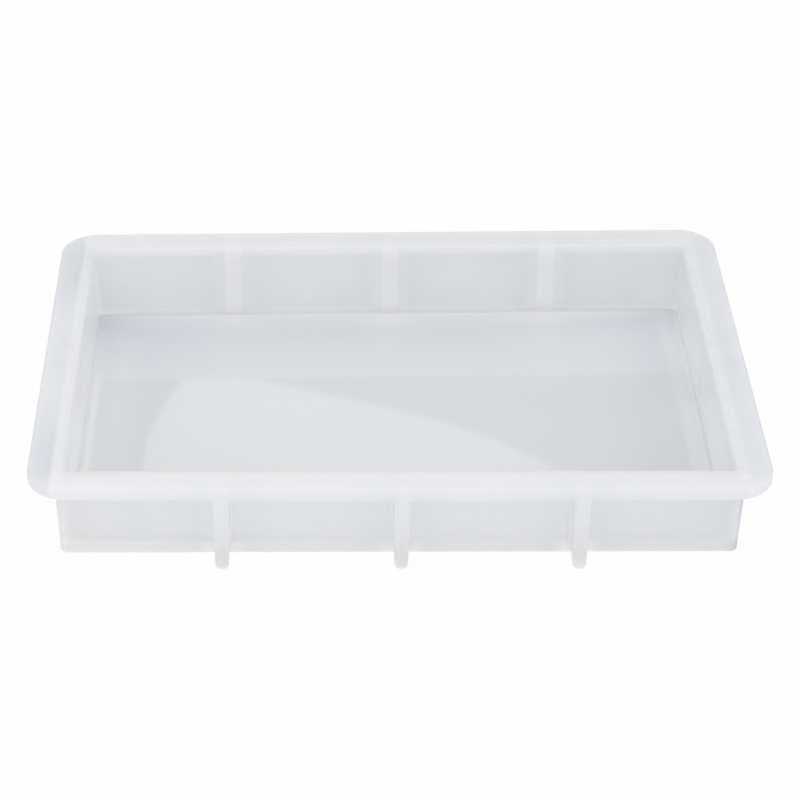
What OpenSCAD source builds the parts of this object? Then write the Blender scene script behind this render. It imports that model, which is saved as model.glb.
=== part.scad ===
/* [Tray] */
// Length of the well at the rim
well_l = 300; // [260:10:340]
// Width of the well at the rim
well_w = 200; // [180:10:240]
// Height from the base to the top of the rim
tray_h = 43; // [36:1:60]
// Thickness of the floor
floor_t = 1.6; // [1.2:0.2:3]
// Thickness of the walls
wall_t = 4.5; // [3:0.5:6]
// Draft of each wall over the whole height
draft = 1.4; // [0.4:0.2:2.4]
// Radius of the outside upright corners of the wall
wall_r = 5; // [3:0.5:8]

/* [Rim flange] */
// Width of the flange, from the well's edge outwards
flange_w = 16; // [12:1:24]
// Thickness of the flange
flange_t = 5; // [3:0.5:6]
// Radius of the flange's outside corners
flange_r = 18; // [10:1:28]

/* [Ribs] */
// Ribs on each long side
long_side_ribs = 3; // [1:1:4]
// Distance between ribs on a long side
rib_pitch = 80; // [40:5:60]
// Rib thickness where it meets the flange
rib_top_w = 7.4; // [6:0.2:9]
// Rib thickness just above its foot
rib_foot_w = 6.2; // [4.4:0.2:7]
// Radius of the foot's two round corners
rib_foot_r = 2; // [1:0.2:2]

/* [Wet layer] */
// Thickness of the sponge
sponge_t = 1.8; // [1:0.2:4]
// Gap between the sponge's edge and the walls
sponge_gap = 0.6; // [0.4:0.2:4]
// Thickness of the palette sheet
sheet_t = 0.25; // [0.15:0.05:0.5]
// Gap between the sheet's edge and the walls
sheet_gap = 0.3; // [0.3:0.1:2]
// Corner radius of the sponge and the sheet
layer_r = 1.5; // [1:0.5:8]

/* [Hidden] */
$fn = 96;
eps = 1;
lay_gap = 0.05;
wall_l = well_l + 2 * wall_t;
wall_w = well_w + 2 * wall_t;
flange_l = well_l + 2 * flange_w;
flange_d = well_w + 2 * flange_w;
rib_root = (wall_t - draft) / 2;
rib_reach = flange_w - rib_root;
rib_top_z = tray_h - flange_t / 2;
rib_foot_flat = rib_foot_w - 2 * rib_foot_r;
floor_l = well_l - 2 * draft;
floor_w = well_w - 2 * draft;
sponge_z = floor_t + lay_gap;
sheet_z = sponge_z + sponge_t + lay_gap;

// Rectangle with round corners, centred, made of true arcs
module round_rect(l, w, r) {
    square([l - 2 * r, w], center = true);
    square([l, w - 2 * r], center = true);
    for (x = [-1, 1], y = [-1, 1])
        translate([x * (l / 2 - r), y * (w / 2 - r)])
            circle(r = r);
}

// Upright section of a block that is top_w wide at height tray_h and narrows downwards
module draft_section(top_w, z_low, z_high) {
    low = top_w / 2 - draft * (tray_h - z_low) / tray_h;
    high = top_w / 2 - draft * (tray_h - z_high) / tray_h;
    polygon([[-low, z_low], [low, z_low], [high, z_high], [-high, z_high]]);
}

// Block with four drafted sides
module draft_block(l, w, z_low, z_high) {
    intersection() {
        rotate([90, 0, 0])
            linear_extrude(2 * w, center = true)
                draft_section(l, z_low, z_high);
        rotate([90, 0, 90])
            linear_extrude(2 * l, center = true)
                draft_section(w, z_low, z_high);
    }
}

// Outside of the walls and the floor
module tray_shell() {
    intersection() {
        draft_block(wall_l, wall_w, 0, tray_h);
        linear_extrude(tray_h)
            round_rect(wall_l, wall_w, wall_r);
    }
}

// Wide flat rim all the way round the well
module flange() {
    translate([0, 0, tray_h - flange_t])
        linear_extrude(flange_t)
            round_rect(flange_l, flange_d, flange_r);
}

// One stiffening rib, its root on the plane y = 0, reaching to +Y
module rib() {
    rotate([90, 0, 180])
        linear_extrude(rib_reach) {
            polygon([
                [-rib_foot_w / 2, rib_foot_r],
                [-rib_foot_flat / 2, 0],
                [rib_foot_flat / 2, 0],
                [rib_foot_w / 2, rib_foot_r],
                [rib_top_w / 2, rib_top_z],
                [-rib_top_w / 2, rib_top_z]
            ]);
            for (side = [-1, 1])
                translate([side * rib_foot_flat / 2, rib_foot_r])
                    circle(r = rib_foot_r);
        }
}

// Ribs under the flange: a row on each long side, one on each short side
module ribs() {
    for (turn = [0, 180], i = [0 : long_side_ribs - 1])
        rotate(turn)
            translate([(i - (long_side_ribs - 1) / 2) * rib_pitch, well_w / 2 + rib_root, 0])
                rib();
    for (turn = [90, 270])
        rotate(turn)
            translate([0, well_l / 2 + rib_root, 0])
                rib();
}

// Moulded silicone tray, one piece
module tray() {
    color("whitesmoke")
        difference() {
            union() {
                tray_shell();
                flange();
                ribs();
            }
            draft_block(well_l, well_w, floor_t, tray_h + eps);
        }
}

// Thin water-holding sponge that lies on the floor
module sponge() {
    color("gainsboro")
        translate([0, 0, sponge_z])
            linear_extrude(sponge_t)
                round_rect(floor_l - 2 * sponge_gap, floor_w - 2 * sponge_gap, layer_r);
}

// Glossy water-permeable sheet that lies on the sponge
module palette_sheet() {
    color("ghostwhite")
        translate([0, 0, sheet_z])
            linear_extrude(sheet_t)
                round_rect(floor_l - 2 * sheet_gap, floor_w - 2 * sheet_gap, layer_r);
}

tray();
sponge();
palette_sheet();
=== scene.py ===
"""Wet palette: a milky silicone tray with a thin sponge and a glossy palette sheet on its floor."""

import math

import bmesh
import bpy
from mathutils import Matrix, Vector, noise


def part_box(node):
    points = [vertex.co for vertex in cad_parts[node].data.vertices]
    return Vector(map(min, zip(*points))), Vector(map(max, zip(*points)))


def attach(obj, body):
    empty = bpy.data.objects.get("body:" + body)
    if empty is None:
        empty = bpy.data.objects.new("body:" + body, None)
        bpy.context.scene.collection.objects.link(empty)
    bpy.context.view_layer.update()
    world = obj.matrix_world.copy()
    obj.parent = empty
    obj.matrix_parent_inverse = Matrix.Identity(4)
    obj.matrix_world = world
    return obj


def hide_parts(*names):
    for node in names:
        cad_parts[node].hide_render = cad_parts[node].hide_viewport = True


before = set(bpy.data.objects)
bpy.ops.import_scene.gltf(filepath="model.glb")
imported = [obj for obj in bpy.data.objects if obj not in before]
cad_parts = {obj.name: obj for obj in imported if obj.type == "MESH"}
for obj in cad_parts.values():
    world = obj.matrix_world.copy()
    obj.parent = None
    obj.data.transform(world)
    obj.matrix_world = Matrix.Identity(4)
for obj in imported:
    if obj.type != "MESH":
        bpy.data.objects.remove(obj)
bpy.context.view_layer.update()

MM = 0.001

# ---------------------------------------------------------------- sizes
TRAY_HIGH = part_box("tray")[1]
SPONGE_LOW, SPONGE_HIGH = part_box("sponge")
SHEET_LOW, SHEET_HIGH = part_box("palette_sheet")

HEIGHT = TRAY_HIGH.z
RIM_W = 16 * MM                 # rim, from the well's edge outwards
RIM_T = 5 * MM
RIM_R = 18 * MM                 # outside corner radius of the rim
RIM_UNDER = HEIGHT - RIM_T      # height of the rim's underside
WALL_T = 4.5 * MM
WALL_R = 5 * MM                 # outside corner radius of the wall
DRAFT = 1.4 * MM                # over the whole height
FLOOR_T = 1.6 * MM
WELL_HALF_X = TRAY_HIGH.x - RIM_W
WELL_HALF_Y = TRAY_HIGH.y - RIM_W
WELL_R = 1.6 * MM               # upright inside corners
FLOOR_R = 3 * MM                # the same where they meet the floor

FLOOR_ROUND = 0.8 * MM          # between the floor and the wall
LIP_ROUND = 0.9 * MM            # the well's upper edge
EDGE_ROUND = 0.9 * MM           # the rim's upper edge
UNDER_ROUND = 0.5 * MM          # the rim's lower edge
ROOT_ROUND = 1.2 * MM           # between the rim's underside and the wall
FOOT_ROUND = 0.5 * MM           # the wall's outer foot

SEAM_DROP = 1.7 * MM            # from the rim's top down to the mould's parting line
SEAM_DEPTH = 0.05 * MM          # of the fine groove that it leaves
SEAM_SHAPE = ((1.5, 0), (0.6, 0.1), (0, 1), (-0.6, 0.1), (-1.5, 0))     # (rise, inset), in depths

RIB_X = (-80 * MM, 0.0, 80 * MM)
RIB_TOP_W = 7.4 * MM
RIB_FOOT_W = 6.2 * MM
RIB_FOOT_R = 2 * MM             # round corners of a rib's foot
RIB_END_R = 1.4 * MM            # round corners of its outer end, seen from above
RIB_END_SHARE = 0.85            # of its half width, the most that these corners take
RIB_FLARE = 1.6 * MM            # radius where it widens into the wall and into the rim
RIB_INSET = 0.12 * MM           # from the rim's edge to its outer end
RIB_SINK = 1.2 * MM             # how deep it goes into the wall

FILM_FOLD = 1.6 * MM            # radius of the wet film's edge where it turns up at the walls
FILM_GAP = 0.025 * MM           # between the film's edge and the wall
FILM_THINNING = 0.19            # share of its thickness that it loses at each step up the fold

SPONGE_R = 1.5 * MM             # its corners, seen from above
SPONGE_EDGE = 0.4 * MM          # outermost loop of its top and underside, in from its edge
SPONGE_BEVEL = 0.12 * MM
SPONGE_GRAIN = 3 * MM
SPONGE_DIP = 0.12 * MM          # how deep the grain is
SPONGE_BAND = 1 * MM            # how far in from the edge the grain also eats into the outline

LEAN = 1.5 * MM                 # how far the short sides stand out of line, front to back
SKEW = 1.9 * MM                 # how far the back stands out of square
SAG = 1.3 * MM                  # of the front rim's middle

CORNER_STEPS = 10               # mesh steps round one corner
LONG_STEPS = 60                 # along the tray's long and short sides
SHORT_STEPS = 40
ARC_STEPS = 5                   # round one edge
WALL_STEPS = 6                  # up a wall
RIB_STEPS = 6                   # up a rib, between its foot and its flare
RIB_FOOT_STEPS = 7
RIB_FLARE_STEPS = 4
RIB_END_STEPS = 3
LEAST_R = 0.2 * MM              # the tightest corner of any loop of the tray, film and sponge
FILM_LEAST_R = 0.3 * MM
SPONGE_LEAST_R = 0.1 * MM
MIDDLE_INSET = 12 * MM          # innermost loop of the floor and of the base
MIDDLE_R = 3.6 * MM
RIM_LOOP = 5 * MM               # a loop on the rim's top and underside, in from its edge
OVER_WALL_R = 7 * MM            # corners of the loop on the rim above the wall's outside
FILM_PITCH = 5 * MM             # between the loops of the film and of the sponge
SPONGE_PITCH = 2 * MM
TRAY_SHARP, FILM_SHARP, SPONGE_SHARP = 32, 60, 80       # degrees from which an edge stays sharp


# ---------------------------------------------------------------- camera
FOCAL_PX = 2593.7               # fitted to the photograph's 800 pixel frame
FRAME_PX = 800
SENSOR_MM = 36
CAMERA_AT = Vector((-40.1, -1048.4, 695.5)) * MM
PITCH, YAW, ROLL = (math.radians(a) for a in (32.96, 2.33, 1.224))
CLIP_START, CLIP_END = 0.05, 50         # metres


def add_camera():
    data = bpy.data.cameras.new("camera")
    data.sensor_width = SENSOR_MM
    data.lens = FOCAL_PX / FRAME_PX * SENSOR_MM
    data.clip_start = CLIP_START
    data.clip_end = CLIP_END
    camera = bpy.data.objects.new("camera", data)
    turn = (
        Matrix.Rotation(-YAW, 4, "Z")
        @ Matrix.Rotation(math.pi / 2 - PITCH, 4, "X")
        @ Matrix.Rotation(ROLL, 4, "Z")
    )
    camera.matrix_world = Matrix.Translation(CAMERA_AT) @ turn
    bpy.context.scene.collection.objects.link(camera)
    bpy.context.scene.camera = camera


# ---------------------------------------------------------------- mesh helpers
def ring(half_x, half_y, radius, z):
    """One closed loop of points: a rectangle with round corners, counterclockwise from +X."""
    corners = []
    for quarter, (sx, sy) in enumerate(((1, 1), (-1, 1), (-1, -1), (1, -1))):
        centre = Vector((sx * (half_x - radius), sy * (half_y - radius), z))
        bend = []
        for step in range(CORNER_STEPS + 1):
            angle = (quarter + step / CORNER_STEPS) * math.pi / 2
            bend.append(centre + radius * Vector((math.cos(angle), math.sin(angle), 0)))
        corners.append(bend)
    points = []
    for quarter, bend in enumerate(corners):
        following = corners[(quarter + 1) % 4][0]
        steps = LONG_STEPS if quarter % 2 == 0 else SHORT_STEPS
        points += bend
        points += [bend[-1].lerp(following, step / steps) for step in range(1, steps)]
    return points


def inset_rings(half_x, half_y, radius, least, path):
    """A ring at each (inset, z) of path, with corners no tighter than least."""
    return [
        ring(half_x - inset, half_y - inset, max(radius - inset, least), z)
        for inset, z in path
    ]


def arc(centre, radius, start, end, steps=ARC_STEPS):
    """Points on an arc in the plane that centre is given in, angles in degrees from its first axis."""
    points = []
    for step in range(steps + 1):
        angle = math.radians(start + (end - start) * step / steps)
        points.append((centre[0] + radius * math.cos(angle), centre[1] + radius * math.sin(angle)))
    return points


def draft_at(z):
    """How far a drafted wall stands inwards of its place at the rim."""
    return DRAFT * (HEIGHT - z) / HEIGHT


def add_stack(mesh, rings):
    """Adds a closed skin through a stack of equal rings, with a cap at both ends."""
    loops = [[mesh.verts.new(point) for point in points] for points in rings]
    for lower, upper in zip(loops, loops[1:]):
        count = len(lower)
        for i in range(count):
            j = (i + 1) % count
            mesh.faces.new((lower[i], lower[j], upper[j], upper[i]))
    mesh.faces.new(loops[0])
    mesh.faces.new(loops[-1])


def add_object(name, mesh):
    """Makes an object of a bmesh, in the scene."""
    data = bpy.data.meshes.new(name)
    mesh.to_mesh(data)
    mesh.free()
    made = bpy.data.objects.new(name, data)
    bpy.context.scene.collection.objects.link(made)
    return made


def make_stacks(name, stacks):
    """One object of several closed stacks of rings."""
    mesh = bmesh.new()
    for rings in stacks:
        add_stack(mesh, rings)
    bmesh.ops.recalc_face_normals(mesh, faces=mesh.faces)
    return add_object(name, mesh)


def apply_modifiers(piece):
    graph = bpy.context.evaluated_depsgraph_get()
    piece.data = bpy.data.meshes.new_from_object(piece.evaluated_get(graph))
    piece.modifiers.clear()


def smooth(piece, angle):
    """Smooth shading, with sharp edges from angle degrees."""
    piece.data.shade_smooth()
    piece.data.set_sharp_from_angle(angle=math.radians(angle))
    weighted = piece.modifiers.new("weighted_normals", "WEIGHTED_NORMAL")
    weighted.keep_sharp = True


def relax(piece):
    """Soft rubber lies a little out of square, and its front rim sags in the middle."""
    for vertex in piece.data.vertices:
        across = vertex.co.x / TRAY_HIGH.x
        along = vertex.co.y / TRAY_HIGH.y
        front = min(max((-vertex.co.y - WELL_HALF_Y) / RIM_W, 0), 1)
        vertex.co.y += LEAN * across + SKEW * across * along
        vertex.co.z -= SAG * (1 - across ** 2) * front * vertex.co.z / HEIGHT


# ---------------------------------------------------------------- tray
def tray_profile():
    """(offset from the well's edge, z, corner radius) from the floor's top over the rim to the base."""
    profile = []

    def add(points, at, radius):
        """Adds points; the corner radius is the one given at offset at, and grows outwards."""
        profile.extend((offset, z, max(radius + offset - at, LEAST_R)) for offset, z in points)

    def add_wall(offset, radius, start, end):
        """Adds the points of a drafted wall between two heights."""
        for step in range(1, WALL_STEPS):
            z = start + (end - start) * step / WALL_STEPS
            add([(offset - draft_at(z), z)], offset, radius)

    floor_edge = -draft_at(FLOOR_T) - FLOOR_ROUND
    root = WALL_T - draft_at(RIM_UNDER) + ROOT_ROUND
    foot = WALL_T - draft_at(FOOT_ROUND) - FOOT_ROUND
    seam_z = HEIGHT - SEAM_DROP

    add([(-MIDDLE_INSET, FLOOR_T)], -MIDDLE_INSET, MIDDLE_R)
    add(arc((floor_edge, FLOOR_T + FLOOR_ROUND), FLOOR_ROUND, -90, 0), 0, FLOOR_R)
    add_wall(0, WELL_R, FLOOR_T + FLOOR_ROUND, HEIGHT - LIP_ROUND)
    add(arc((LIP_ROUND, HEIGHT - LIP_ROUND), LIP_ROUND, 180, 90), 0, WELL_R)
    add([(WALL_T, HEIGHT)], WALL_T, OVER_WALL_R)
    add([(RIM_W - RIM_LOOP, HEIGHT)], RIM_W, RIM_R)
    add(arc((RIM_W - EDGE_ROUND, HEIGHT - EDGE_ROUND), EDGE_ROUND, 90, 0), RIM_W, RIM_R)
    seam = [(RIM_W - SEAM_DEPTH * inset, seam_z + SEAM_DEPTH * rise) for rise, inset in SEAM_SHAPE]
    add(seam, RIM_W, RIM_R)
    add(arc((RIM_W - UNDER_ROUND, RIM_UNDER + UNDER_ROUND), UNDER_ROUND, 0, -90), RIM_W, RIM_R)
    add([(RIM_W - RIM_LOOP, RIM_UNDER)], RIM_W, RIM_R)
    add(arc((root, RIM_UNDER - ROOT_ROUND), ROOT_ROUND, 90, 180), WALL_T, WALL_R)
    add_wall(WALL_T, WALL_R, RIM_UNDER - ROOT_ROUND, FOOT_ROUND)
    add(arc((foot, FOOT_ROUND), FOOT_ROUND, 0, -90), WALL_T, WALL_R)
    add([(-MIDDLE_INSET, 0)], -MIDDLE_INSET, MIDDLE_R)
    return profile


def rib_section(half_w, root):
    """Half of a level cut through a rib, from its outer end to its root in the wall: (across, along)."""
    reach = RIM_W - RIB_INSET
    end_r = min(RIB_END_R, RIB_END_SHARE * half_w)
    points = [(0, reach)]
    points += arc((half_w - end_r, reach - end_r), end_r, 90, 0, RIB_END_STEPS)
    points.append((half_w, (reach + root) / 2))
    points += arc((half_w + RIB_FLARE, root + RIB_FLARE), RIB_FLARE, 180, 250)
    points.append((half_w + RIB_FLARE, root - RIB_SINK))
    points.append((0, root - RIB_SINK))
    return points


def rib_levels():
    """(half width, z) up a rib: a half-round foot, then a slight taper, then a flare into the rim."""
    foot_half = RIB_FOOT_W / 2
    top_half = RIB_TOP_W / 2
    taper_end = RIM_UNDER - RIB_FLARE
    levels = arc((foot_half - RIB_FOOT_R, RIB_FOOT_R), RIB_FOOT_R, -90, 0, RIB_FOOT_STEPS)
    for step in range(1, RIB_STEPS + 1):
        part = step / RIB_STEPS
        levels.append((
            foot_half + (top_half - foot_half) * part,
            RIB_FOOT_R + (taper_end - RIB_FOOT_R) * part,
        ))
    levels += arc((top_half + RIB_FLARE, taper_end), RIB_FLARE, 165, 105, RIB_FLARE_STEPS)
    levels.append((top_half + RIB_FLARE, HEIGHT - RIM_T / 2))
    return levels


def rib_rings(place):
    """The level cuts of one rib; place takes (across, outwards, z) to the tray's frame."""
    rings = []
    for half_w, z in rib_levels():
        half = rib_section(half_w, WALL_T - draft_at(z))
        outline = half + [(-x, y) for x, y in reversed(half[1:-1])]
        rings.append([place @ Vector((x, y, z)) for x, y in outline])
    return rings


def rib_places():
    """For each rib, the transform from (across, out from the well's edge, z) to the tray's frame."""
    places = []
    for turn in (0, math.pi):
        for x in RIB_X:
            places.append(Matrix.Rotation(turn, 4, "Z") @ Matrix.Translation((x, WELL_HALF_Y, 0)))
    for turn in (math.pi / 2, -math.pi / 2):
        places.append(Matrix.Rotation(turn, 4, "Z") @ Matrix.Translation((0, WELL_HALF_X, 0)))
    return places


def make_tray():
    rings = [
        ring(WELL_HALF_X + offset, WELL_HALF_Y + offset, radius, z)
        for offset, z, radius in tray_profile()
    ]
    tray = make_stacks("tray_moulding", [rings])
    ribs = make_stacks("ribs", [rib_rings(place) for place in rib_places()])
    union = tray.modifiers.new("ribs", "BOOLEAN")
    union.operation = "UNION"
    union.solver = "EXACT"
    union.object = ribs
    apply_modifiers(tray)
    bpy.data.objects.remove(ribs)
    relax(tray)
    smooth(tray, TRAY_SHARP)
    return tray


# ---------------------------------------------------------------- sheet and sponge
def film_rings():
    """Rings over the film: under it from the middle out, up its turned edge, and back over its top."""
    thick = SHEET_HIGH.z - SHEET_LOW.z
    edge = draft_at(SHEET_LOW.z + FILM_FOLD) + FILM_GAP
    half_x = WELL_HALF_X - edge
    half_y = WELL_HALF_Y - edge
    inwards = [FILM_FOLD + FILM_PITCH * step for step in range(int(half_y / FILM_PITCH) - 1)]
    outer = [(inset, SHEET_LOW.z) for inset in reversed(inwards)]
    inner = [(inset, SHEET_HIGH.z) for inset in inwards]
    for step in range(1, ARC_STEPS + 1):
        angle = math.pi / 2 * step / ARC_STEPS
        drop = 1 - math.sin(angle)
        rise = 1 - math.cos(angle)
        thin = thick * (1 - FILM_THINNING * step)
        outer.append((FILM_FOLD * drop, SHEET_LOW.z + FILM_FOLD * rise))
        inner.insert(0, (
            thin + (FILM_FOLD - thin) * drop,
            SHEET_HIGH.z + (FILM_FOLD - thick) * rise,
        ))
    return inset_rings(half_x, half_y, WELL_R, FILM_LEAST_R, outer + inner)


def make_sheet():
    sheet = make_stacks("palette_film", [film_rings()])
    relax(sheet)
    smooth(sheet, FILM_SHARP)
    return sheet


def sponge_rings():
    """Rings over the sponge: under it from the middle out, round its edge, and back over its top."""
    count = int((SPONGE_HIGH.y - SPONGE_EDGE) / SPONGE_PITCH)
    inwards = [SPONGE_EDGE + SPONGE_PITCH * step for step in range(count + 1)]
    path = [(inset, SPONGE_LOW.z) for inset in reversed(inwards)]
    path.append((SPONGE_BEVEL, SPONGE_LOW.z + SPONGE_BEVEL))
    path.append((0, (SPONGE_LOW.z + SPONGE_HIGH.z) / 2))
    path.append((SPONGE_BEVEL, SPONGE_HIGH.z - SPONGE_BEVEL))
    path += [(inset, SPONGE_HIGH.z) for inset in inwards]
    return inset_rings(SPONGE_HIGH.x, SPONGE_HIGH.y, SPONGE_R, SPONGE_LEAST_R, path)


def eaten(value, limit, dip):
    """A coordinate within SPONGE_BAND of the sponge's edge, moved in by twice the grain's dip."""
    near_edge = max(abs(value) - limit + SPONGE_BAND, 0) / SPONGE_BAND
    return value - math.copysign(2 * SPONGE_DIP * dip * near_edge, value)


def make_sponge():
    sponge = make_stacks("sponge_pad", [sponge_rings()])
    middle_z = (SPONGE_LOW.z + SPONGE_HIGH.z) / 2
    for vertex in sponge.data.vertices:
        dip = 0.5 + 0.5 * noise.noise(vertex.co / SPONGE_GRAIN)     # from -1..1 to 0..1
        side = 1 if vertex.co.z > middle_z else -1
        vertex.co.z -= side * SPONGE_DIP * dip
        vertex.co.x = eaten(vertex.co.x, SPONGE_HIGH.x, dip)
        vertex.co.y = eaten(vertex.co.y, SPONGE_HIGH.y, dip)
    relax(sponge)
    smooth(sponge, SPONGE_SHARP)
    return sponge


# ---------------------------------------------------------------- material helpers
MIX_A, MIX_B, MIX_RESULT = 6, 7, 2      # the colour sockets of a Mix node


class Shader:
    """A small wrapper round the nodes of a material or a world, so that it reads as sums."""

    def __init__(self, owner, output="ShaderNodeOutputMaterial"):
        owner.use_nodes = True
        self.tree = owner.node_tree
        self.tree.nodes.clear()
        self.output = self.tree.nodes.new(output)

    def node(self, kind, inputs=None, **settings):
        made = self.tree.nodes.new(kind)
        for key, value in settings.items():
            setattr(made, key, value)
        for key, value in (inputs or {}).items():
            self.feed(made.inputs[key], value)
        return made

    def feed(self, socket, value):
        """Links value to the socket if it is a node's output, and sets it if it is a number."""
        if isinstance(value, bpy.types.NodeSocket):
            self.tree.links.new(value, socket)
        else:
            socket.default_value = value

    def surface(self, kind, inputs):
        """The shader node that the output shows."""
        self.feed(self.output.inputs["Surface"], self.node(kind, inputs).outputs[0])

    def math(self, operation, a, b=0.0):
        return self.node("ShaderNodeMath", {0: a, 1: b}, operation=operation).outputs[0]

    def chain(self, operation, values):
        """One operation over two or more values."""
        total = values[0]
        for value in values[1:]:
            total = self.math(operation, total, value)
        return total

    def plus(self, *values):
        return self.chain("ADD", values)

    def times(self, *values):
        return self.chain("MULTIPLY", values)

    def most(self, *values):
        return self.chain("MAXIMUM", values)

    def minus(self, a, b):
        return self.math("SUBTRACT", a, b)

    def absolute(self, value):
        return self.math("ABSOLUTE", value)

    def flip(self, mask):
        """1 where the mask is 0, and 0 where it is 1."""
        return self.minus(1.0, mask)

    def between(self, mask, ends):
        """The first of ends where the mask is 0, and the second where it is 1."""
        return self.plus(ends[0], self.times(mask, ends[1] - ends[0]))

    def step(self, value, over):
        """0 below the span that it goes over, 1 above it, smooth between."""
        inputs = {"Value": value, "From Min": over[0], "From Max": over[1]}
        made = self.node("ShaderNodeMapRange", inputs, interpolation_type="SMOOTHSTEP")
        return made.outputs["Result"]

    def steps(self, value, parts):
        """The sum of several steps, each a (span, height)."""
        return self.plus(*(self.times(self.step(value, over), height) for over, height in parts))

    def mix(self, factor, a, b):
        made = self.node("ShaderNodeMix", data_type="RGBA")
        self.feed(made.inputs["Factor"], factor)
        self.feed(made.inputs[MIX_A], a)
        self.feed(made.inputs[MIX_B], b)
        return made.outputs[MIX_RESULT]

    def noise(self, vector, scale, detail, roughness):
        inputs = {"Vector": vector, "Scale": scale, "Detail": detail, "Roughness": roughness}
        return self.node("ShaderNodeTexNoise", inputs).outputs["Fac"]

    def cells(self, vector, scale):
        inputs = {"Vector": vector, "Scale": scale, "Randomness": 1.0}
        return self.node("ShaderNodeTexVoronoi", inputs).outputs["Distance"]

    def bump(self, height, distance, strength):
        inputs = {"Height": height, "Distance": distance, "Strength": strength}
        return self.node("ShaderNodeBump", inputs).outputs[0]

    def split(self, vector):
        return self.node("ShaderNodeSeparateXYZ", {0: vector}).outputs

    def place(self):
        """Where a point was before relax() moved it along y."""
        place = self.node("ShaderNodeTexCoord").outputs["Object"]
        x, y, z = self.split(place)
        lean = self.plus(self.times(y, SKEW / TRAY_HIGH.y), LEAN)
        moved = self.times(self.math("DIVIDE", x, TRAY_HIGH.x), lean)
        return self.node("ShaderNodeCombineXYZ", {0: x, 1: self.minus(y, moved), 2: z}).outputs[0]

    def seen(self):
        """1 for the camera, a reflection or a view through something, 0 for scattered light."""
        rays = self.node("ShaderNodeLightPath").outputs
        return self.most(rays["Is Camera Ray"], rays["Is Glossy Ray"], rays["Is Transmission Ray"])


def new_material(name):
    material = bpy.data.materials.new(name)
    return material, Shader(material)


def grey(level, tint):
    """Linear colour of an sRGB level, 0 to 255, with a small tint in levels."""
    channels = []
    for shift in tint:
        value = (level + shift) / 255
        channels.append(value / 12.92 if value <= 0.04045 else ((value + 0.055) / 1.055) ** 2.4)
    return (*channels, 1.0)


def span(low, high, start=0.0):
    """Two places, given in millimetres from start."""
    return (start + low * MM, start + high * MM)


CLOUD_SPAN = (0.35, 0.7)        # the part of a cloudy noise's values that goes from 0 to 1


# ---------------------------------------------------------------- silicone
# Scatter alone doesn't give the light of the photograph, so the base colour carries painted light
# and painted shade in soft masks that were set against it: where the rim, a wall or a rib backs
# the surface it is painted paler, and where nothing does it is painted darker.
# A span is where a mask fades in, in millimetres, and a pair of strengths is what between() takes.

# outwards from the well's edge, and across the line where a short side meets a long one
INNER_FACE = span(-0.6, 0.6)
SIDE_CORNER = span(-2, 2)
FOOT_STOP = span(5.5, 8)
# leftwards from the tray's middle
LEFTWARDS = span(0, 100)
# upwards
RIM_START = span(-1.5, 1, RIM_UNDER)
LIP_START = span(-4.4, -3, HEIGHT)
FOOT_TOP = span(5, 9)
FOOT_RISE = span(0.5, 2.5)      # how much higher the foot goes inside, on a long wall and on a side

# strength of the painted light on the inner sides of the well
SIDE_LIGHT = (0.25, 0.9)     # on the right, and on the left


class TrayMasks:
    """Where a point is on the tray, and masks over the tray's parts."""

    def __init__(self, s, place):
        self.x, self.y, self.z = s.split(place)
        self.from_x = s.absolute(self.x)
        self.from_y = s.absolute(self.y)
        self.out_x = s.minus(self.from_x, WELL_HALF_X)
        self.out_y = s.minus(self.from_y, WELL_HALF_Y)
        self.out = s.most(self.out_x, self.out_y)
        self.inside = s.flip(s.step(self.out, INNER_FACE))
        self.side = s.step(s.minus(self.out_x, self.out_y), SIDE_CORNER)
        self.left = s.step(s.times(self.x, -1.0), LEFTWARDS)
        self.up = s.step(self.z, RIM_START)
        self.lip = s.step(self.z, LIP_START)
        # the rim is everything up there but the well's wall under its lip
        self.rim = s.times(self.up, s.flip(s.times(self.inside, s.flip(self.lip))))
        self.lit_side = s.times(self.side, s.between(self.left, SIDE_LIGHT), self.inside)
        foot_z = s.minus(self.z, s.times(self.inside, s.between(self.side, FOOT_RISE)))
        self.foot = s.times(s.flip(s.step(foot_z, FOOT_TOP)), s.flip(s.step(self.out, FOOT_STOP)))


OUTER_WALL = grey(233, (-5, 0, 8))
# painted shade: the well's inner walls are greyer than the outer ones
SHADED_INNER_WALL = grey(213, (-8, 0, 7))
# painted light on the inner sides, more on the left
LIT_INNER_SIDE = grey(246, (-2, 0, 4))
# painted light high up inside the well and near the walls' ends
LIT_WALL = grey(250, (-1, 0, 7))
# painted light at the walls' foot: outside, inside, and on the inner sides
LIT_OUTER_FOOT = grey(236, (0, 0, 1))
LIT_INNER_FOOT = grey(250, (-2, 0, 3))
LIT_SIDE_FOOT = grey(252, (-1, 0, 2))

# where the painted light high up inside and near the walls' ends goes, and how strong it is
UPPER_WALL = span(12, 38)       # upwards
UPPER_LIGHT = 0.3
WALL_END_START = span(118, 142)         # to the left and right of the tray's middle
WALL_END_STOP = span(148, 153)
END_LIGHT = 0.25
LEFT_END_LIGHT = (0.45, -0.25)       # what the left adds to that, outside and inside


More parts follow.
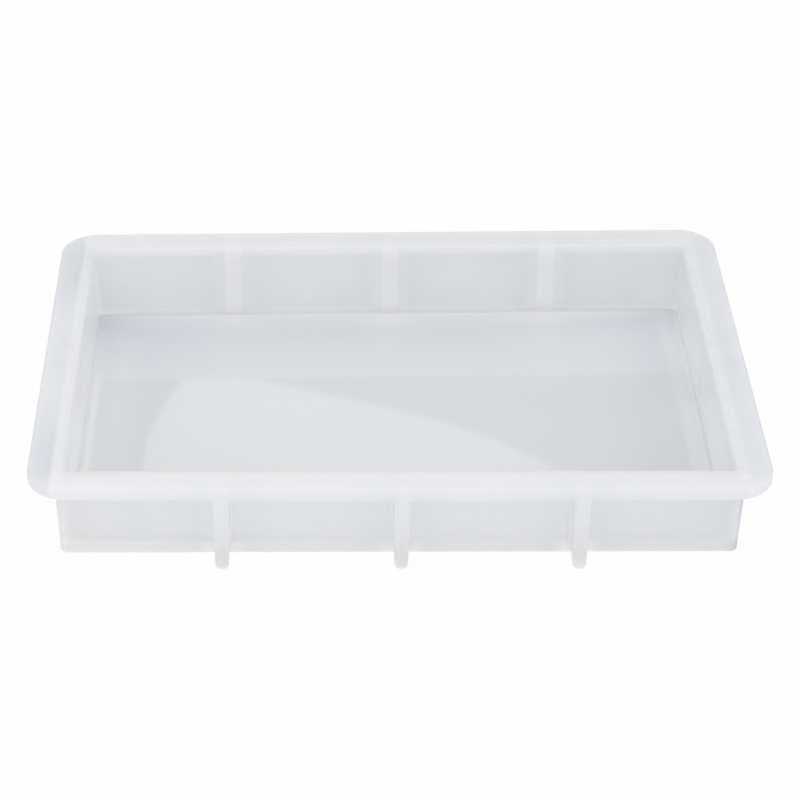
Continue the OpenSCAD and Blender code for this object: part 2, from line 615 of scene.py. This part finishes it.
def wall_colour(s, at):
    """Painted shade makes it greyer inside; painted light makes it paler on the inner sides, high up,
    near the walls' ends and at their foot.
    """
    wall = s.mix(at.inside, OUTER_WALL, SHADED_INNER_WALL)
    wall = s.mix(at.lit_side, wall, LIT_INNER_SIDE)
    upper = s.times(s.step(at.z, UPPER_WALL), at.inside, s.flip(at.side))
    wall = s.mix(s.times(upper, UPPER_LIGHT), wall, LIT_WALL)
    near_end = s.minus(s.step(at.from_x, WALL_END_START), s.step(at.from_x, WALL_END_STOP))
    end_light = s.plus(END_LIGHT, s.times(at.left, s.between(at.inside, LEFT_END_LIGHT)))
    wall = s.mix(s.times(near_end, end_light), wall, LIT_WALL)
    foot = s.mix(at.inside, LIT_OUTER_FOOT, s.mix(at.lit_side, LIT_INNER_FOOT, LIT_SIDE_FOOT))
    return s.mix(at.foot, wall, foot)


RIM = grey(237, (-3, 0, 14))
# painted light round the well, and painted highlights along its edge and on the lip
LIT_RIM_BAND = grey(248, (-1, 0, 7))
RIM_HIGHLIGHT = grey(250, (-1, 0, 5))
LIP_HIGHLIGHT = grey(254, (-1, 0, 3))

# outwards from the well's edge
BAND_START = span(-0.2, 0.8)
BAND_STOP = span(3.6, 8.5)
HIGHLIGHT_STOP = span(1.2, 3)
LIP_HIGHLIGHT_STRENGTH = 0.9


def rim_colour(s, at, wall):
    """Painted light: the rim shows the wall under it as a pale band round the well, with a painted
    highlight along a line by the edge and on the lip.
    """
    start = s.times(s.step(at.out, BAND_START), at.rim)
    lit_band = s.times(start, s.flip(s.step(at.out, BAND_STOP)))
    line = s.times(start, s.flip(s.step(at.out, HIGHLIGHT_STOP)))
    colour = s.mix(at.rim, wall, RIM)
    colour = s.mix(lit_band, colour, LIT_RIM_BAND)
    colour = s.mix(s.times(at.lip, at.inside, LIP_HIGHLIGHT_STRENGTH), colour, LIP_HIGHLIGHT)
    return s.mix(line, colour, RIM_HIGHLIGHT)


SHADED = grey(200, (-5, 0, 8))
# painted shade at the right corners of the long walls
SHADED_CORNER = grey(176, (-3, 0, 3))

# outwards from the well's edge
OVERHANG = span(3.5, 6.5)       # where the rim goes on past the wall
BRIM = span(-1.5, -0.6, RIM_W)
# along x from the tray's middle
RIGHT_END = ((span(144, 156), 1.0), (span(150, 154), 1.0))
RIGHT_CORNER = span(151, 154)
# along y from the tray's middle
SIDE_END = span(20, 100)
BACK_HALF = span(20, 90)
BACK_RIM = span(80, 100)
LONG_WALL = span(96, 102)
# upwards
BELOW_RIM = span(30, 35)

SHADE = 0.15                    # in the tray's middle
SHADE_TO_RIGHT = 0.13
SHADE_TO_BACK = 0.1
SIDE_RIM_SHADE = 0.17
OVERHANG_SHADE = (0.2, 0.8)     # in general, and at the two left corners
BACK_LEFT_SHADE = 0.28
BACK_RIM_SHADE = 0.07
BRIM_SHADE = 0.4
RIGHT_END_SHADE = 0.42
CORNER_SHADE = 0.8


def shaded_colour(s, at, colour):
    """Painted shade: darker to the right and the back, round the rim's edge, and where nothing backs a
    corner.
    """
    left_corner = s.times(at.left, s.step(at.from_y, SIDE_END))
    overhang = s.times(s.step(at.out_x, OVERHANG), at.rim)
    long_wall = s.most(at.inside, s.step(at.from_y, LONG_WALL))
    parts = (
        (at.x, SHADE_TO_RIGHT / TRAY_HIGH.x),
        (at.y, SHADE_TO_BACK / TRAY_HIGH.y),
        (s.times(at.side, at.rim), SIDE_RIM_SHADE),
        (overhang, s.between(left_corner, OVERHANG_SHADE)),
        (s.times(at.side, at.left, s.step(at.y, BACK_HALF), at.rim), BACK_LEFT_SHADE),
        (s.times(s.step(at.y, BACK_RIM), at.rim), BACK_RIM_SHADE),
        (s.times(s.step(at.out, BRIM), at.rim), BRIM_SHADE),
        (s.times(s.steps(at.x, RIGHT_END), long_wall, s.flip(at.up)), RIGHT_END_SHADE),
    )
    shade = s.plus(SHADE, *(s.times(mask, strength) for mask, strength in parts))
    colour = s.mix(shade, colour, SHADED)
    corner = s.times(s.step(at.x, RIGHT_CORNER), s.flip(s.step(at.z, BELOW_RIM)), long_wall)
    return s.mix(s.times(corner, CORNER_SHADE), colour, SHADED_CORNER)


# painted light beside and along the ribs, and painted shade on their outer ends
HALO_LIGHT = grey(253, (-2, 0, 3))
RIB_LIGHT = grey(253, (-1, 0, 2))
SHADED_RIB_TIP = grey(196, (1, 0, -1))

# outwards from the well's edge
RIB_BACKED = span(-4, -2)
HALO_STOP = span(5.2, 7)
RIB_END = span(6, 11)
# to both sides of a rib's middle
RIB_LINE = span(3, 5.2)
RIB_HALO = span(3.5, 13)
SIDE_RIB_LINE = span(1, 12)
# upwards
RIB_LENGTH = span(0, 42)

# strengths of the painted light beside and along the ribs, and of the painted shade on their ends
HALO_LIGHT_STRENGTH = (0.8, 0.4)      # outside, inside
SIDE_RIB_STRENGTH = (0.3, 0.0)  # from the rib's middle to the end of its span
RIB_STRENGTH = 0.1              # on a long wall's outside
RIB_ON_SIDE = 0.5               # what a short side adds, and the inside
RIB_INSIDE = 0.8
TIP_SHADE = 0.95


def ribbed_colour(s, at, colour):
    """Painted light: each rib backs the wall, which is painted paler at it and beside it. Painted shade
    darkens the rib's own outer end.
    """
    line = 0.0
    halo = 0.0
    for x in RIB_X:
        gap = s.absolute(s.minus(at.x, x))
        line = s.most(line, s.flip(s.step(gap, RIB_LINE)))
        halo = s.most(halo, s.flip(s.step(gap, RIB_HALO)))
    side_line = s.between(s.step(at.from_y, SIDE_RIB_LINE), SIDE_RIB_STRENGTH)
    backed = s.step(at.out_y, RIB_BACKED)
    rib = s.most(s.times(line, backed), s.times(side_line, s.step(at.out_x, RIB_BACKED)))

    beside = s.times(halo, backed, s.flip(s.step(at.out, HALO_STOP)), s.flip(at.rim))
    colour = s.mix(s.times(beside, s.between(at.inside, HALO_LIGHT_STRENGTH)), colour, HALO_LIGHT)
    strength = s.plus(RIB_STRENGTH, s.times(at.side, RIB_ON_SIDE), s.times(at.inside, RIB_INSIDE))
    colour = s.mix(s.times(rib, strength), colour, RIB_LIGHT)
    tip = s.times(s.step(at.out, RIB_END), s.flip(s.step(at.z, RIB_LENGTH)))
    return s.mix(s.times(tip, TIP_SHADE), colour, SHADED_RIB_TIP)


CLOUDY = grey(240, (0, 0, 3))
CLOUD_STRENGTH = 0.15
CLOUDS = (22, 3, 0.6)           # scale, detail and roughness of a noise
FINE_GRAIN = (900, 4, 0.6)
FINE_SHARE = 0.25
BROAD_WAVES = (60, 2, 0.5)
WAVE_DEPTH = 0.08 * MM
BUMP_STRENGTH = (0.6, 0.06)     # outside, inside
SILICONE_ROUGHNESS = (0.32, 0.08)
SCATTER = span(35, 1.5)         # how far light scatters, and the same at the walls' outer foot


def silicone_material():
    """Milky silicone that light runs through, glossier inside the well than outside it."""
    material, s = new_material("milky_silicone")
    place = s.place()
    at = TrayMasks(s, place)
    colour = rim_colour(s, at, wall_colour(s, at))
    colour = ribbed_colour(s, at, shaded_colour(s, at, colour))
    clouds = s.step(s.noise(place, *CLOUDS), CLOUD_SPAN)
    colour = s.mix(s.times(clouds, CLOUD_STRENGTH), colour, CLOUDY)
    height = s.plus(s.times(s.noise(place, *FINE_GRAIN), FINE_SHARE), s.noise(place, *BROAD_WAVES))
    # at their outer foot the walls scatter less, so that the foot's painted light shows with little blur
    outer_foot = s.times(at.foot, s.flip(at.inside))
    s.surface("ShaderNodeBsdfPrincipled", {
        "Base Color": colour,
        "Roughness": s.between(at.inside, SILICONE_ROUGHNESS),
        "IOR": 1.41,
        "Normal": s.bump(height, WAVE_DEPTH, s.between(at.inside, BUMP_STRENGTH)),
        "Subsurface Weight": 1.0,
        "Subsurface Radius": (1.0, 1.0, 1.0),
        "Subsurface Scale": s.between(outer_foot, SCATTER),
    })
    return material


# ---------------------------------------------------------------- wet film
FILM = grey(233, (-2, 0, 4))
FILM_CLOUD = grey(234, (-2, 0, 4))
# painted light on the film beside the walls
FILM_LIT_BY_WALL = grey(252, (-1, 0, 2))
# painted shade on the film's turned edge by the back wall
SHADED_FILM_EDGE = grey(215, (-2, 0, 3))

# (span, height) pairs of painted light towards the left wall and the right one: a wide slope and a
# narrow edge
FILM_LEFT = ((span(-32, -6, WELL_HALF_X), 0.6), (span(-8, -5, WELL_HALF_X), 0.4))
FILM_RIGHT = ((span(-30, 0, WELL_HALF_X), 0.85), (span(-12, -10, WELL_HALF_X), 0.25))
FILM_BACK = span(-22, 0, WELL_HALF_Y)
FILM_BACK_HALF = (20 * MM, WELL_HALF_Y)
LEFT_AT_BACK = (1.0, 0.5)       # the left wall's effect at the front, and at the back
RIGHT_AT_BACK = (0.5, 1.5)      # the same for the right wall
BACK_TO_RIGHT = span(20, 120)
BACK_AT_RIGHT = (0.75, 1.0)     # the back wall's effect on the left, and on the right
CORNER_X = span(30, 140)        # the broad patch of painted light at the back on the right
CORNER_Y = span(10, 90)
CORNER_LIGHT = 0.5
TURNED_Z = span(0.05, 0.9, SHEET_HIGH.z)
TURNED_Y = span(-4, -3, WELL_HALF_Y)    # painted shade: the turned edge is darker along the back wall alone
TURNED_SHADE = 0.25

FILM_CLOUDS = (14, 3, 0.55)
FILM_RIPPLES = (9, 1, 0.4)
RIPPLE_DEPTH = 0.25 * MM
RIPPLE_STRENGTH = 0.3


def film_wall_light(s, x, y):
    """How much painted light the walls throw on the film beside them, 0 to 1."""
    to_back = s.step(y, FILM_BACK_HALF)
    left = s.times(s.steps(s.times(x, -1.0), FILM_LEFT), s.between(to_back, LEFT_AT_BACK))
    right = s.times(s.steps(x, FILM_RIGHT), s.between(to_back, RIGHT_AT_BACK))
    back = s.times(s.step(y, FILM_BACK), s.between(s.step(x, BACK_TO_RIGHT), BACK_AT_RIGHT))
    corner = s.times(s.step(x, CORNER_X), s.step(y, CORNER_Y), CORNER_LIGHT)
    return s.most(left, right, back, corner)


def film_material():
    """A thin film under a mirror-like coat of water, with painted light beside the walls and painted
    shade on its turned edge by the back wall.
    """
    material, s = new_material("wet_film")
    place = s.place()
    x, y, z = s.split(place)
    colour = s.mix(s.step(s.noise(place, *FILM_CLOUDS), CLOUD_SPAN), FILM, FILM_CLOUD)
    colour = s.mix(film_wall_light(s, x, y), colour, FILM_LIT_BY_WALL)
    turned = s.times(s.step(z, TURNED_Z), s.step(y, TURNED_Y))
    colour = s.mix(s.times(turned, TURNED_SHADE), colour, SHADED_FILM_EDGE)
    ripples = s.noise(place, *FILM_RIPPLES)
    s.surface("ShaderNodeBsdfPrincipled", {
        "Base Color": colour,
        "Roughness": 0.55,
        "IOR": 1.45,
        "Specular IOR Level": 0.2,
        "Coat Weight": 1.0,
        "Coat Roughness": 0.035,
        "Coat IOR": 1.45,
        "Coat Normal": s.bump(ripples, RIPPLE_DEPTH, RIPPLE_STRENGTH),
    })
    return material


# ---------------------------------------------------------------- sponge
SPONGE = grey(240, (1, 0, -3))
SPONGE_DARKER = grey(228, (1, 0, -1))
# painted shade in the sponge's pores
SHADED_PORE = grey(190, (2, 1, -2))
SPONGE_TONES = (30, 3, 0.6)
TONE_STRENGTH = 0.6
SMALL_PORES = 900               # cells per metre
SMALL_PORE_SPAN = (0.15, 0.55)  # from a pore to the skin round it, in cells
LARGE_PORES = 330
LARGE_PORE_SPAN = (0.1, 0.4)
PORE_DEPTH = 0.4 * MM
PORE_STRENGTH = 0.9


def sponge_material():
    """Damp cellulose, full of pores of two sizes, with painted shade in the pores."""
    material, s = new_material("cellulose_sponge")
    place = s.place()
    small = s.step(s.cells(place, SMALL_PORES), SMALL_PORE_SPAN)
    large = s.step(s.cells(place, LARGE_PORES), LARGE_PORE_SPAN)
    height = s.times(small, large)
    tone = s.noise(place, *SPONGE_TONES)
    colour = s.mix(s.times(tone, TONE_STRENGTH), SPONGE, SPONGE_DARKER)
    s.surface("ShaderNodeBsdfPrincipled", {
        "Base Color": s.mix(s.flip(height), colour, SHADED_PORE),
        "Roughness": 0.85,
        "IOR": 1.4,
        "Normal": s.bump(height, PORE_DEPTH, PORE_STRENGTH),
        "Sheen Weight": 0.15,
        "Sheen Roughness": 0.5,
    })
    return material


# ---------------------------------------------------------------- stage and lights
WHITE = (1, 1, 1, 1)

FLOOR_HALF = 4                  # metres
FLOOR_DROP = 0.1 * MM           # how far it is below the tray
FLOOR_COLOUR = (0.9, 0.9, 0.9, 1)
FLOOR_GLOW = 0.96               # how much of it is plain white where it is seen

# a window-like panel behind the tray, which the wet film mirrors, drawn as (x, z) in metres
PANEL = (
    (-0.24, 0.95), (-0.205, 0.73), (-0.192, 0.653), (-0.168, 0.603), (-0.144, 0.57),
    (-0.078, 0.59), (-0.005, 0.608), (0.041, 0.619), (0.088, 0.634), (0.135, 0.654),
    (0.173, 0.675), (0.252, 0.736), (0.4, 0.95),
)
PANEL_Y = 0.95
PANEL_LEVEL = 1.35

# a large grey card further back, which the film mirrors round the window
CARD = ((-1.6, 0.13), (1.6, 0.13), (1.6, 1.43), (-1.6, 1.43))
CARD_Y = 1.3
CARD_LEVEL = 0.38

SKY_COLOUR = (0.985, 0.992, 1.0, 1)
SKY_FRONT = 0.95                # strength of the light from straight in front, and from behind
SKY_BACK = 0.58
SKY_WHITE = 0.5                 # share of plain white in the sky's scattered light

FILL_AT = Vector((-0.5, -1.0, 2.2))      # metres
FILL_SIZE = (1.6, 1.2)
FILL_WATTS = 2.5


def add_floor():
    """A floor that scatters light as white card does, and is seen as nearly plain white."""
    mesh = bmesh.new()
    bmesh.ops.create_grid(mesh, x_segments=8, y_segments=8, size=FLOOR_HALF)
    floor = add_object("studio_floor", mesh)
    floor.location.z = -FLOOR_DROP
    floor.visible_diffuse = False
    material, s = new_material("white_floor")
    diffuse = s.node("ShaderNodeBsdfDiffuse", {"Color": FLOOR_COLOUR})
    white = s.node("ShaderNodeEmission", {"Color": WHITE, "Strength": 1.0})
    glow = s.times(s.seen(), FLOOR_GLOW)
    s.surface("ShaderNodeMixShader", {0: glow, 1: diffuse.outputs[0], 2: white.outputs[0]})
    floor.data.materials.append(material)


def add_reflected(name, outline, y, level):
    """A flat glowing shape behind the tray, out of the picture, that only reflections show."""
    mesh = bmesh.new()
    mesh.faces.new([mesh.verts.new((x, y, z)) for x, z in outline])
    shape = add_object(name, mesh)
    shape.visible_camera = False
    shape.visible_diffuse = False
    shape.visible_shadow = False
    material, s = new_material(name + "_glow")
    s.surface("ShaderNodeEmission", {"Color": WHITE, "Strength": level})
    shape.data.materials.append(material)


def add_world():
    """A sky that is plain white where it is seen, and lights the tray most from the front."""
    world = bpy.data.worlds.new("studio")
    bpy.context.scene.world = world
    s = Shader(world, "ShaderNodeOutputWorld")
    facing = s.split(s.node("ShaderNodeTexCoord").outputs["Generated"])
    strength = s.node("ShaderNodeMapRange", {
        "Value": facing["Y"],
        "From Min": -1,
        "To Min": SKY_FRONT,
        "To Max": SKY_BACK,
    })
    dim = s.node("ShaderNodeBackground", {"Color": SKY_COLOUR, "Strength": strength.outputs["Result"]})
    white = s.node("ShaderNodeBackground", {"Color": WHITE, "Strength": 1.0})
    whiteness = s.most(s.seen(), SKY_WHITE)
    s.surface("ShaderNodeMixShader", {0: whiteness, 1: dim.outputs[0], 2: white.outputs[0]})


def add_front_fill():
    """A soft area light that faces the tray."""
    data = bpy.data.lights.new("front_fill", "AREA")
    data.shape = "RECTANGLE"
    data.size, data.size_y = FILL_SIZE
    data.energy = FILL_WATTS
    light = bpy.data.objects.new("front_fill", data)
    aim = (-FILL_AT).to_track_quat("-Z", "Y").to_matrix().to_4x4()
    light.matrix_world = Matrix.Translation(FILL_AT) @ aim
    bpy.context.scene.collection.objects.link(light)


# ---------------------------------------------------------------- assembly
def dress(piece, node_name, body, material):
    piece.data.materials.clear()
    piece.data.materials.append(material)
    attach(piece, body)
    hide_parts(node_name)


add_camera()
tray = make_tray()
sponge = make_sponge()
sheet = make_sheet()
dress(tray, "tray", "tray", silicone_material())
dress(sponge, "sponge", "sponge", sponge_material())
dress(sheet, "palette_sheet", "palette_sheet", film_material())

add_floor()
add_reflected("window_panel", PANEL, PANEL_Y, PANEL_LEVEL)
add_reflected("grey_card", CARD, CARD_Y, CARD_LEVEL)
add_world()
add_front_fill()
bpy.context.scene.view_settings.view_transform = "Standard"
